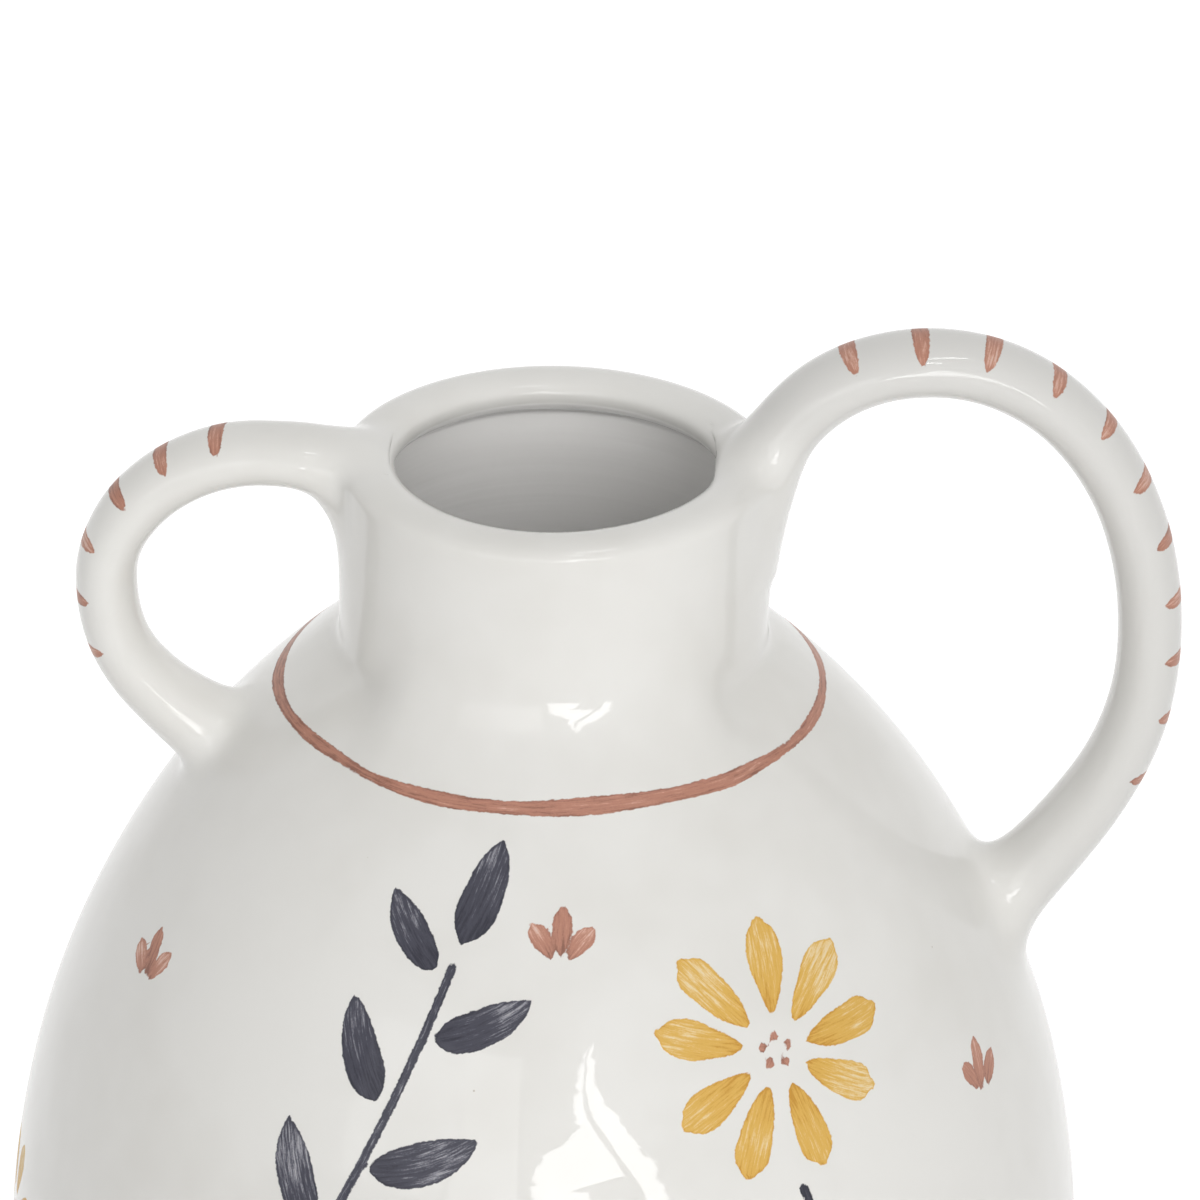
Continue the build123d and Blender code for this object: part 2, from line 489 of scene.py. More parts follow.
def surface_net(values, low, cell):
    """Quads over the zero level of a grid, one point in each cell that the level passes through."""
    n = np.array(values.shape)
    sums = np.zeros((*(n - 1), 3))
    hits = np.zeros(n - 1)
    inside = values < 0
    crossings = []
    for axis in range(3):
        first, second = [slice(None)] * 3, [slice(None)] * 3
        first[axis], second[axis] = slice(0, -1), slice(1, None)
        v0, v1 = values[tuple(first)], values[tuple(second)]
        base = np.argwhere(inside[tuple(first)] != inside[tuple(second)])
        at = tuple(base.T)
        place = base.astype(float)
        place[:, axis] += v0[at] / (v0[at] - v1[at])
        b, c = [a for a in range(3) if a != axis]
        for home in cells_round(base, b, c, ((0, 0), (0, 1), (1, 0), (1, 1))):
            ok = np.all((home >= 0) & (home < n - 1), axis=1)
            np.add.at(sums, tuple(home[ok].T), place[ok])
            np.add.at(hits, tuple(home[ok].T), 1)
        crossings.append((axis, b, c, base, v0[at] < 0))
    used = hits > 0
    number = np.full(used.shape, -1)
    number[used] = np.arange(used.sum())
    points = np.array(low) + cell * sums[used] / hits[used][:, None]
    quads = []
    for axis, b, c, base, starts_inside in crossings:
        ok = (base[:, b] >= 1) & (base[:, c] >= 1) & (base[:, b] < n[b] - 1) & (base[:, c] < n[c] - 1)
        base, turn = base[ok], starts_inside[ok] ^ (axis == 1)
        homes = cells_round(base, b, c, ((1, 1), (0, 1), (0, 0), (1, 0)))
        ring = np.stack([number[tuple(home.T)] for home in homes], 1)
        ring[~turn] = ring[~turn][:, ::-1]
        quads.append(ring)
    return points, np.concatenate(quads)


def face_normals(points, faces):
    """Normals of quads, each as long as twice its area."""
    a, b, c, d = (points[faces[:, i]] for i in range(4))
    return np.cross(c - a, d - b)


def handle_shape(loop, low, high):
    """Points, faces and normals of a handle with its fillets, set a little way into the clay."""
    axes = [np.arange(low[i], high[i] + net_cell, net_cell) for i in range(3)]
    grid = np.stack(np.meshgrid(*axes, indexing="ij"), -1)

    def parts(q):
        tube, along = loop.distance(q)
        body, reach = clay(q), loop.reach(along, q)
        whole = smooth_union(body, tube, reach) - skin_lift
        return whole, np.maximum(tube - 0.92 * reach, -(body + skin_depth))

    whole, limit = parts(grid.reshape(-1, 3))
    points, faces = surface_net(np.maximum(whole, limit).reshape(grid.shape[:3]), low, net_cell)
    whole, limit = parts(points)
    free = (limit < -0.5 * net_cell) & (np.abs(whole) < 0.5 * net_cell)
    skin = points[free]
    for _ in range(3):
        slope = slope_of(lambda q: blended(loop, q), skin)
        skin = skin - slope * (blended(loop, skin) / np.maximum((slope**2).sum(1), 0.05))[:, None]
    points[free] = skin
    flat = face_normals(points, faces)
    normals = np.zeros_like(points)
    for i in range(4):
        np.add.at(normals, faces[:, i], flat)
    near = np.abs(blended(loop, points)) < 0.7
    normals[near] = slope_of(lambda q: blended(loop, q), points[near])
    corners, flat = unit(normals)[faces], unit(flat)[:, None]
    folded = (corners * flat).sum(2).min(1) < 0.3
    corners[folded] = flat[folded]
    return points, faces, corners.reshape(-1, 3)


# Turned meshes


def ring_grid(line, uneven=True):
    """Rings of points round the axis, one for each point of an outline."""
    angle = np.linspace(0, 2 * math.pi, column_count, endpoint=False)[None, :]
    radius, level = line[:, :1] + 0 * angle, line[:, 1:] + 0 * angle
    if uneven:
        radius, level = made_uneven(radius, level, angle)
    return np.stack([radius * np.cos(angle), radius * np.sin(angle), level], -1)


def grid_normals(grid):
    """Normals of a sheet of rings, pointing to the right of the outline's direction."""
    step = np.diff(grid, axis=0)
    length = np.linalg.norm(step, axis=2)[..., None]
    step = step / length
    inner = (step[:-1] * length[1:] + step[1:] * length[:-1]) / (length[1:] + length[:-1])
    onward = np.concatenate([step[:1], inner, step[-1:]])
    round_axis = np.roll(grid, -1, 1) - np.roll(grid, 1, 1)
    return unit(np.cross(round_axis, onward))


def turned_shape(bands, closed_loop):
    """Points, faces and corner normals of bands of rings.

    A band is its rings and their normals, and follows on from the last ring of the one before. A closed loop
    ends on its first ring. Otherwise the first and last ring stay open for a hub on the axis.
    """
    rings, quads, corner_normals = [bands[0][0][0]], [], []
    columns = np.arange(column_count)
    following = np.roll(columns, -1)
    for grid, normals in bands:
        for i in range(1, len(grid)):
            rings.append(grid[i])
            a, b = (len(rings) - 2) * column_count, (len(rings) - 1) * column_count
            quads.append(np.stack([a + columns, a + following, b + following, b + columns], 1))
            before, here = normals[i - 1], normals[i]
            corner_normals.append(np.stack([before, before[following], here[following], here], 1))
    points = np.concatenate(rings)
    faces = np.concatenate(quads)
    corner_normals = np.concatenate(corner_normals)
    if closed_loop:
        last = (len(rings) - 1) * column_count
        faces = np.where(faces >= last, faces - last, faces)
        points = points[:last]
    return points, faces, corner_normals.reshape(-1, 3)


def level_band(grid, direction):
    """Rings in a level plane, facing up for 1 or down for -1."""
    normals = np.zeros_like(grid)
    normals[..., 2] = direction
    return grid, normals


# Blender objects


def placed(name, data):
    """A new object in the scene."""
    obj = bpy.data.objects.new(name, data)
    bpy.context.scene.collection.objects.link(obj)
    return obj


def new_object(name, points, faces, corner_normals, hubs=()):
    """A mesh object in metres with its own normals.

    A hub closes a ring on the axis: the ring's first point, its level, and 1 to face up or -1 to face down.
    """
    mesh = bpy.data.meshes.new(name)
    points = (points * MILLIMETRE).tolist()
    polygons, corner_normals = faces.tolist(), corner_normals.tolist()
    for first, level, direction in hubs:
        hub = len(points)
        points.append((0.0, 0.0, level * MILLIMETRE))
        for i in range(column_count):
            j = (i + 1) % column_count
            ring = (first + i, first + j, hub) if direction > 0 else (first + j, first + i, hub)
            polygons.append(ring)
            corner_normals += [(0.0, 0.0, float(direction))] * 3
    mesh.from_pydata(points, [], polygons)
    mesh.shade_smooth()
    mesh.update()
    mesh.normals_split_custom_set(corner_normals)
    return placed(name, mesh)


# The turned wall's stretches from the foot up, over the rim and down inside, each with its rings' spacing
wall_stretches = (
    (lower_curve, 1.7),
    (shoulder_curve, 1.35),
    (root_curve, 0.55),
    (collar_line, 1.2),
    (crown_curve, 0.55),
    (underside_curve, 0.8),
    (bore_line, 2.0),
    (inner_wall(), 3.2),
)
flat_spacing = 5.0
hub_radius = 6.0


def body_and_neck():
    """The two turned pieces. Both are cut from one sheet, so their surfaces run on from each other."""
    parts = [respaced(line, spacing) for line, spacing in wall_stretches]
    counts = np.cumsum([0] + [len(part) - 1 for part in parts])
    sheet = ring_grid(joined(*parts))
    normals = grid_normals(sheet)
    neck_start, neck_end, inner_end = counts[2], counts[7], counts[8]

    def band(first, last):
        return sheet[first : last + 1], normals[first : last + 1]

    cap = np.stack([sheet[neck_start], sheet[neck_end]])
    floor_radius = np.hypot(*sheet[inner_end, :, :2].T).mean()
    floor_ends = [(floor_radius, floor_level), (hub_radius, floor_level)]
    floor = level_band(ring_grid(respaced(floor_ends, flat_spacing), False), 1)
    floor[0][0] = sheet[inner_end]
    under_ends = [(hub_radius, foot_height), (body_foot_radius, foot_height)]
    under = level_band(ring_grid(respaced(under_ends, flat_spacing), False), -1)
    under[0][-1] = sheet[0]
    body_bands = [under, band(0, neck_start), level_band(cap, 1), band(neck_end, inner_end), floor]
    shape = turned_shape(body_bands, False)
    last_ring = len(shape[0]) - column_count
    body = new_object("jar_body", *shape, hubs=((0, foot_height, -1), (last_ring, floor_level, 1)))
    neck_bands = [band(neck_start, neck_end), level_band(cap[::-1], -1)]
    return body, new_object("jar_neck", *turned_shape(neck_bands, True))


foot_spacing = 1.0
foot_step_radius = foot_radius + 0.35  # where the flared side ends, a little outside the rounded edge
foot_step_level = foot_edge_radius + 0.1
foot_step_width = 0.2


def foot_piece():
    """The turned foot ring, with softened edges and a slight step above the outer one."""
    inner = foot_radius - foot_width
    soft = foot_edge_radius
    line = joined(
        respaced([(body_foot_radius, foot_height), (foot_step_radius, foot_step_level)], 0.8 * foot_spacing),
        arc((foot_radius - soft + foot_step_width, soft), (soft, soft), 0, -90, 7),
        respaced([(foot_radius - soft, 0.0), (inner + soft, 0.0)], 1.2 * foot_spacing),
        arc((inner + soft, soft), (soft, soft), -90, -180, 7),
        respaced([(inner, soft), (inner, foot_height)], foot_spacing),
    )
    grid = ring_grid(line, False)
    wall = (grid, -grid_normals(grid))
    top = level_band(grid[[-1, 0]], 1)
    points, faces, corner_normals = turned_shape([wall, top], True)
    corner_normals = corner_normals.reshape(-1, 4, 3)[:, ::-1].reshape(-1, 3)
    return new_object("jar_foot", points, faces[:, ::-1], corner_normals)


# Boxes in which the handles are meshed, as their lowest and highest corner
large_box = ((20.0, -34.0, 150.0), (134.0, 34.0, 332.0))
small_box = ((-106.0, -34.0, 190.0), (-20.0, 34.0, 312.0))

body, neck = body_and_neck()
foot = foot_piece()
large = new_object("handle_large", *handle_shape(large_loop, *large_box))
small = new_object("handle_small", *handle_shape(small_loop, *small_box))

# Painted strokes

wall_along = along_line(outer_wall)
far_depth = -3.0
strokes = []


def along_at(level):
    """Distance along the outside wall, from the foot up, at a level."""
    return np.interp(level, outer_wall[:, 1], wall_along)


def wall_points(azimuth, across, along):
    """Points on the outside wall, some millimetres to the right of an azimuth in degrees from the front."""
    radius = np.interp(along, wall_along, outer_wall[:, 0])
    level = np.interp(along, wall_along, outer_wall[:, 1])
    angle = np.radians(azimuth) + across / radius - math.pi / 2
    radius, level = made_uneven(radius, level, angle)
    return np.stack([radius * np.cos(angle), radius * np.sin(angle), level], 1)


def add_stroke(colour, points, half_widths, pitch=1.2):
    """Keep one brush stroke: points in space with a half width at each."""
    along = along_line(points)
    count = max(6, int(along[-1] / pitch))
    marks = np.linspace(0, along[-1], count)
    line = read_off(points, along, marks)
    half = np.interp(marks, along, half_widths)
    wet = rng.uniform(0.35, 0.75) + 0.25 * np.cos(np.linspace(0, math.pi, count) * rng.uniform(0.8, 1.6))
    strokes.append((colour, line, half, marks, wet, rng.uniform(0, 900)))


def swell_shares(t, rise, fall):
    """Width of a pressed brush mark along its length, as shares of the fullest."""
    peak = rise / (rise + fall)
    full = peak**rise * (1 - peak) ** fall
    return (t + 0.004) ** rise * (1.004 - t) ** fall / full


def brush_mark(colour, azimuth, base, aim, length, half, bend, rise, fall):
    """A leaf, petal or dab on the wall. The base is across and along, the aim in degrees from straight up."""
    t = np.linspace(0, 1, 24)
    turn = np.radians(aim + bend * (t - 0.4))
    step = length / (len(t) - 1)
    across = base[0] + np.concatenate([[0], np.cumsum(np.sin(turn[1:]) * step)])
    along = base[1] + np.concatenate([[0], np.cumsum(np.cos(turn[1:]) * step)])
    uneven = 1 + 0.05 * np.sin(t * rng.uniform(5, 11) + rng.uniform(0, 6))
    add_stroke(colour, wall_points(azimuth, across, along), half * swell_shares(t, rise, fall) * uneven)


def sprig(azimuths, levels, leaf_count, leaf_length):
    """A stem with leaves on both sides and one at its tip."""
    t = np.linspace(0, 1, 40)
    low, high = along_at(levels[0]), along_at(levels[1])
    azimuth = azimuths[0] + (azimuths[1] - azimuths[0]) * t + 3.5 * np.sin(t * 2.6)
    along = low + (high - low) * t
    stem_end = 0.86
    shown = t < stem_end
    width = (1.5 - 0.7 * t) * (1 + 0.1 * np.sin(9 * t))
    add_stroke("navy", wall_points(azimuth, 0 * t, along)[shown], width[shown])
    radius = np.interp(along, wall_along, outer_wall[:, 0])
    lean = np.degrees(np.arctan2(np.gradient(np.radians(azimuth)) * radius, np.gradient(along)))
    for i in range(leaf_count):
        at = 0.07 + (stem_end - 0.1) * i / (leaf_count - 1)
        side = 1 if i % 2 else -1
        size = (1.0 - 0.32 * at) * rng.uniform(0.94, 1.06)
        there, height, tilt = (np.interp(at, t, v) for v in (azimuth, along, lean))
        aim = tilt + side * rng.uniform(44, 54)
        bend = -side * rng.uniform(18, 34)
        base = (side * 3.0, height + 1.5)
        brush_mark("navy", there, base, aim, leaf_length * size, 5.4 * size, bend, 0.55, 0.8)
    there, height, tilt = (np.interp(stem_end + 0.02, t, v) for v in (azimuth, along, lean))
    brush_mark("navy", there, (0.0, height), tilt + 2, leaf_length * 0.85, 4.4, -12, 0.6, 0.8)


def flower(azimuth, level, radius, petal_count, stem_level=None):
    """Round of pressed petals with dabs at the centre, over a bent stem with two leaves."""
    along = along_at(level)
    start = rng.uniform(0, 30)
    inner = radius * 0.27
    for i in range(petal_count):
        aim = start + 360 * i / petal_count + rng.uniform(-3, 3)
        a = math.radians(aim)
        base = (inner * math.sin(a), along + inner * math.cos(a))
        length = (radius - inner) * rng.uniform(0.93, 1.03)
        brush_mark("ochre", azimuth, base, aim, length, radius * 0.155, rng.uniform(-12, 12), 0.75, 0.33)
    for i in range(5):
        a = math.radians(start + 72 * i)
        base = (1.9 * math.sin(a), along + 1.9 * math.cos(a))
        brush_mark("terracotta", azimuth, base, math.degrees(a), 2.2, 1.15, 0, 0.3, 0.3)
    if stem_level is None:
        return
    t = np.linspace(0, 1, 30)
    top = along - radius - 2.5
    bend = 6 * np.sin(t * 2.8)
    height = top + (along_at(stem_level) - top) * t
    add_stroke("navy", wall_points(azimuth, bend, height), 1.35 - 0.5 * np.abs(t - 0.5))
    for at, side in ((0.42, 1), (0.60, -1)):
        base = (np.interp(at, t, bend) + side * 3.0, np.interp(at, t, height))
        brush_mark("navy", azimuth, base, side * 48, 24, 4.9, -side * 26, 0.55, 0.8)


def bud(azimuth, level, lean):
    """Three small dabs in a fan."""
    for aim, length in ((-34, 8.5), (0, 10.5), (34, 8.5)):
        a = math.radians(aim + lean)
        base = (2.6 * math.sin(a), along_at(level) + 2.6 * math.cos(a))
        brush_mark("terracotta", azimuth, base, aim + lean, length, 2.1, aim / 3, 0.75, 0.4)


def hoop(level, half):
    """A thin line drawn round the jar as it turned, its thin ends passing each other at the back."""
    turn = np.linspace(-183, 181, 500)
    a = np.radians(turn)
    drift = 0.5 * np.sin(a * 2 + 0.4) + 0.35 * np.sin(a * 5) + turn / 260
    width = half * (1 + 0.22 * np.sin(a * 3 + 1) + 0.12 * np.sin(a * 11))
    width = width * np.clip((184 - np.abs(turn)) / 10, 0.25, 1)
    add_stroke("terracotta", wall_points(turn, 0 * turn, along_at(level) + drift), width)


def handle_dashes(loop, first, last, count, half):
    """Short strokes across the outside of a handle."""
    t = np.linspace(0, 1, 14)
    for i in range(count):
        at = first + (last - first) * i / (count - 1) + rng.uniform(-0.006, 0.006) * (t - 0.5)
        turn = -56 + 116 * t + rng.uniform(-5, 5)
        add_stroke("terracotta", loop.surface(at, turn), half * swell_shares(t, 0.25, 0.35), 0.8)


sprig((-41.0, -12.0), (104.0, 239.0), 9, 27.0)
sprig((146.0, 172.0), (96.0, 236.0), 9, 27.0)
flower(31.0, 204.0, 26.0, 9, 112.0)
flower(-146.0, 196.0, 26.0, 9, 104.0)
for place in ((-3, 112, 19), (66, 116, 19), (-82, 122, 20), (112, 112, 19), (-168, 84, 17)):
    flower(*place, petal_count=8)
for place in ((2, 222, 4), (-62, 196, -12), (62, 176, 12), (118, 196, 8), (-170, 224, -4)):
    bud(*place)
for place in ((20, 66, 20), (-44, 66, -20)):
    bud(*place)
for level in (247.5, 26.0):
    hoop(level, 1.5)
handle_dashes(large_loop, 0.2, 0.74, 11, 1.9)
handle_dashes(small_loop, 0.3, 0.66, 6, 1.8)

colours = ("navy", "ochre", "terracotta")


def points_of(obj, what="co", scale=MILLIMETRE):
    """Points of a piece in millimetres, or with other settings their normals."""
    values = np.empty(len(obj.data.vertices) * 3)
    obj.data.vertices.foreach_get(what, values)
    return values.reshape(-1, 3) / scale


def keep_values(obj, name, values):
    """Keep one number, or three, at each point of a piece under a name."""
    kind, field = ("FLOAT", "value") if values.ndim == 1 else ("FLOAT_VECTOR", "vector")
    attribute = obj.data.attributes.new(name, kind, "POINT")
    attribute.data.foreach_set(field, values.astype(np.float32).ravel())


def paint(obj):
    """Keep at each point how deep it lies in a stroke of each colour, where along and across, and how wet."""
    points = points_of(obj)
    normals = points_of(obj, "normal", 1.0)
    found = {colour: np.zeros((len(points), 4)) for colour in colours}
    for values in found.values():
        values[:, 0] = far_depth
    for colour, line, half, marks, wet, start in strokes:
        margin = half.max() - far_depth
        in_box = (points > line.min(0) - margin) & (points < line.max(0) + margin)
        near = np.flatnonzero(in_box.all(axis=1))
        seg = np.diff(line, axis=0)
        length = np.linalg.norm(seg, axis=1)
        for part in np.array_split(near, len(near) // 4000 + 1):
            if not len(part):
                continue
            gap = points[part][:, None, :] - line[None, :-1]
            t = np.clip((gap * seg).sum(2) / length**2, 0, 1)
            offset = gap - t[..., None] * seg
            best = (offset**2).sum(2).argmin(1)
            rows = np.arange(len(part))
            t, offset = t[rows, best], offset[rows, best]
            along = marks[best] + t * length[best]
            distance = np.linalg.norm(offset, axis=1)
            depth = np.maximum(np.interp(along, marks, half) - distance, far_depth)
            side = np.sign((np.cross(seg[best], offset) * normals[part]).sum(1))
            better = depth > found[colour][part, 0]
            values = np.stack([depth, along + start, distance * side, np.interp(along, marks, wet)], 1)
            found[colour][part[better]] = values[better]
    for colour, values in found.items():
        keep_values(obj, f"{colour}_place", values[:, :3])
        keep_values(obj, f"{colour}_wet", values[:, 3])


def mark_inside(obj):
    """Keep which points of a piece lie on the inside of the jar."""
    points = points_of(obj)
    radius, level = np.hypot(points[:, 0], points[:, 1]), points[:, 2]
    wall = np.interp(level, outer_wall[:, 1], outer_wall[:, 0])
    inside = (radius < wall - body_wall * 0.6) & (level > foot_height + 1) & (level < rim_level - 2)
    keep_values(obj, "inside", inside)


glazed_pieces = (body, neck, large, small)
# Where the painted shade on the large handle starts, and how far it grows, in millimetres out from the clay
handle_shade_from = 1.0
handle_shade_over = 14.0

for piece in glazed_pieces:
    paint(piece)
for piece in (body, neck):
    mark_inside(piece)
# Painted shade: the large handle's glaze is coloured greyer, more so away from the jar
keep_values(large, "handle_painted_shade", eased((clay(points_of(large)) - handle_shade_from) / handle_shade_over))

# Materials


class Nodes:
    """Nodes of a material or world, from short calls. A value is a number, a colour or a node's output."""

    def __init__(self, owner, keep=True):
        self.owner = owner
        owner.use_nodes = True
        self.tree = owner.node_tree
        if keep:
            self.shader = self.tree.nodes["Principled BSDF"]
        else:
            self.tree.nodes.clear()

    def close(self, kind, surface):
        """Add the output node."""
        self.put(self.tree.nodes.new(kind).inputs["Surface"], surface)

    def put(self, socket, value):
        if isinstance(value, bpy.types.NodeSocket):
            self.tree.links.new(value, socket)
        else:
            socket.default_value = value

    def add(self, kind, values, output=0, **settings):
        node = self.tree.nodes.new(kind)
        for key, value in settings.items():
            setattr(node, key, value)
        for key, value in values.items():
            self.put(node.inputs[key], value)
        return node.outputs[output]

    def math(self, operation, *values):
        return self.add("ShaderNodeMath", dict(enumerate(values)), operation=operation)

    def scaled(self, vector, scales):
        return self.add("ShaderNodeVectorMath", {0: vector, 1: scales}, operation="MULTIPLY")

    def noise(self, vector, scale, detail=2.0, roughness=0.5):
        values = {"Vector": vector, "Scale": scale, "Detail": detail, "Roughness": roughness}
        return self.add("ShaderNodeTexNoise", values)

    def ease(self, value, low, high, to_low=0.0, to_high=1.0):
        values = {"Value": value, "From Min": low, "From Max": high, "To Min": to_low, "To Max": to_high}
        return self.add("ShaderNodeMapRange", values, interpolation_type="SMOOTHSTEP")

    def mix(self, share, a, b):
        return self.add("ShaderNodeMix", {0: share, 6: a, 7: b}, 2, data_type="RGBA")

    def bump(self, height, distance, normal=None):
        values = {"Height": height, "Distance": distance}
        if normal is not None:
            values["Normal"] = normal
        return self.add("ShaderNodeBump", values)

    def attribute(self, name, output="Fac"):
        return self.add("ShaderNodeAttribute", {}, output, attribute_name=name)

    def point(self):
        """Place on the piece in millimetres."""
        return self.scaled(self.add("ShaderNodeTexCoord", {}, "Object"), (1 / MILLIMETRE,) * 3)

    def parts(self, vector):
        node = self.tree.nodes.new("ShaderNodeSeparateXYZ")
        self.put(node.inputs[0], vector)
        return node.outputs[0], node.outputs[1], node.outputs[2]

    def looked_at(self):
        """1 for what is seen, also in a mirror or through glass, and 0 for light that falls on something."""
        path = self.tree.nodes.new("ShaderNodeLightPath").outputs
        seen = self.math("MAXIMUM", path["Is Camera Ray"], path["Is Glossy Ray"])
        return self.math("MAXIMUM", seen, path["Is Transmission Ray"])


glaze_white = (0.785, 0.777, 0.75, 1)
glaze_shade = (0.735, 0.724, 0.692, 1)
# Greyer glaze for the painted shade on the large handle
glaze_painted_shade = (0.69, 0.682, 0.66, 1)
# Paler glaze inside the jar: painted light that lifts the dim inside
inside_painted_light = (0.91, 0.9, 0.885, 1)
clay_light = (0.62, 0.565, 0.485, 1)
clay_dark = (0.44, 0.39, 0.32, 1)
fleck_colour = (0.33, 0.27, 0.2, 1)

# The clear glaze over it, clean, and over paint or bare clay
coat_clean = 0.7
coat_painted = 0.2
coat_roughness = 0.015

# Relief of the surface, in metres
lump_relief = 0.0005
ring_relief = 0.00022
fine_relief = 0.000001
paint_relief = 0.00003
grit_relief = 0.0002
ring_share_outside = 0.015

# Each paint where it lies thin, middling and thick
paints = {
    "ochre": ((0.80, 0.60, 0.29, 1), (0.70, 0.425, 0.098, 1), (0.56, 0.285, 0.045, 1)),
    "terracotta": ((0.66, 0.38, 0.29, 1), (0.47, 0.225, 0.16, 1), (0.27, 0.125, 0.09, 1)),
    "navy": ((0.26, 0.26, 0.30, 1), (0.062, 0.062, 0.083, 1), (0.034, 0.034, 0.048, 1)),
}


def painted(n, ragged, grain, base, colour):
    """Lay one colour of paint over a base colour. Returns the new colour and how much paint covers it."""
    depth, along, across = n.parts(n.attribute(f"{colour}_place", "Vector"))
    edge = n.math("ADD", depth, ragged)
    cover = n.ease(edge, -0.05, 0.22)
    flow = n.add("ShaderNodeCombineXYZ", {0: n.math("MULTIPLY", along, 0.09), 1: across})
    load = n.math("MULTIPLY_ADD", n.attribute(f"{colour}_wet"), 0.8, -1.08)
    for streak, strength in ((n.noise(flow, 1.6, 3.0, 0.7), 2.1), (grain, 0.3)):
        load = n.math("MULTIPLY_ADD", streak, strength, load)
    load = n.math("ADD", load, n.ease(edge, 0.9, 0.1, 0.0, 0.28))
    thin, middle, thick = paints[colour]
    tone = n.mix(n.ease(load, 0.05, 0.55), thin, middle)
    tone = n.mix(n.ease(load, 0.6, 1.15), tone, thick)
    share = n.math("MULTIPLY", cover, n.ease(load, -0.25, 0.35, 0.62, 1.0))
    return n.mix(share, base, tone), cover


def gritty_clay(n, point):
    """Grain of bare clay, and its colour."""
    grit = n.noise(point, 1.6, 4.0, 0.7)
    return grit, n.mix(n.ease(grit, 0.35, 0.65), clay_dark, clay_light)


def glaze_material():
    n = Nodes(bpy.data.materials.new("glaze"))
    point = n.point()
    level = n.parts(point)[2]
    inside = n.attribute("inside")
    cloud = n.ease(n.noise(point, 0.022, 3.0, 0.6), 0.38, 0.72)
    # Painted light: the glaze inside the jar is coloured paler than outside
    colour = n.mix(inside, n.mix(cloud, glaze_white, glaze_shade), inside_painted_light)
    # Painted shade: greyer glaze over the large handle, deepest away from the jar
    colour = n.mix(n.attribute("handle_painted_shade"), colour, glaze_painted_shade)
    cells = n.tree.nodes.new("ShaderNodeTexVoronoi")
    cells.inputs["Scale"].default_value = 0.085
    n.put(cells.inputs["Vector"], point)
    chosen = n.math("GREATER_THAN", n.parts(cells.outputs["Color"])[0], 0.72)
    fleck = n.math("MULTIPLY", n.ease(cells.outputs["Distance"], 0.026, 0.014), chosen)
    colour = n.mix(n.math("MULTIPLY", fleck, 0.55), colour, fleck_colour)
    ragged = n.math("MULTIPLY_ADD", n.noise(point, 0.9, 2.0, 0.65), 0.7, -0.35)
    grain = n.noise(point, 2.6, 1.0, 0.7)
    covered = 0.0
    for name in paints:
        colour, cover = painted(n, ragged, grain, colour, name)
        covered = n.math("MAXIMUM", covered, cover)
    wander = n.noise(n.scaled(point, (0.05, 0.05, 0.4)), 1.0, 2.0, 0.6)
    bare = n.ease(n.math("MULTIPLY_ADD", wander, 3.0, level), 9.9, 9.4)
    bare = n.math("MULTIPLY", bare, n.math("SUBTRACT", 1.0, inside))
    grit, clay_colour = gritty_clay(n, point)
    colour = n.mix(bare, colour, clay_colour)
    n.put(n.shader.inputs["Base Color"], colour)
    fine = n.noise(point, 0.5, 2.0, 0.5)
    rough = n.math("MULTIPLY_ADD", fine, 0.08, 0.3)
    rough = n.math("MULTIPLY_ADD", covered, 0.12, rough)
    rough = n.math("MULTIPLY_ADD", bare, 0.45, rough)
    n.put(n.shader.inputs["Roughness"], rough)
    dull = n.math("MAXIMUM", covered, bare)
    n.put(n.shader.inputs["Coat Weight"], n.ease(dull, 0.0, 1.0, coat_clean, coat_painted))
    n.put(n.shader.inputs["Coat Roughness"], coat_roughness)
    n.put(n.shader.inputs["Specular IOR Level"], 0.15)
    rings = n.noise(n.scaled(point, (0.008, 0.008, 0.30)), 1.0, 2.0, 0.5)
    rings = n.math("MULTIPLY", rings, n.ease(inside, 0.0, 1.0, ring_share_outside, 1.0))
    surface = n.bump(n.noise(point, 0.038, 1.0, 0.4), lump_relief)
    surface = n.bump(rings, ring_relief, surface)
    surface = n.bump(fine, fine_relief, surface)
    surface = n.bump(covered, paint_relief, surface)
    surface = n.bump(n.math("MULTIPLY", grit, bare), grit_relief, surface)
    n.put(n.shader.inputs["Normal"], surface)
    n.put(n.shader.inputs["Coat Normal"], surface)
    return n.owner


def bare_clay_material():
    n = Nodes(bpy.data.materials.new("bare_clay"))
    point = n.point()
    grit, colour = gritty_clay(n, point)
    cloud = n.noise(point, 0.06, 2.0, 0.5)
    n.put(n.shader.inputs["Base Color"], n.mix(n.ease(cloud, 0.4, 0.65, 0.0, 0.4), colour, clay_light))
    n.put(n.shader.inputs["Roughness"], n.ease(grit, 0.3, 0.7, 0.92, 0.76))
    turned = n.noise(n.scaled(point, (0.01, 0.01, 1.2)), 1.0, 2.0, 0.5)
    n.put(n.shader.inputs["Normal"], n.bump(turned, 0.0002, n.bump(grit, 0.00022)))
    return n.owner


glaze = glaze_material()
for piece in glazed_pieces:
    piece.data.materials.append(glaze)
foot.data.materials.append(bare_clay_material())

for piece, node, slot in (
    (body, "body_shell", "glazed_body"),
    (neck, "neck_collar", "glazed_neck"),
    (foot, "foot_ring", "bare_foot"),
    (large, "large_handle", "glazed_handle_large"),
    (small, "small_handle", "glazed_handle_small"),
):
    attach(piece, "root")
    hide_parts(node)

# Camera, at the photograph's viewing angle

camera_position = Vector((9.4, -1217.0, 885.1)) * MILLIMETRE
camera_down = math.radians(26.98)
camera_roll = math.radians(1.197)
camera_lens = 196.8


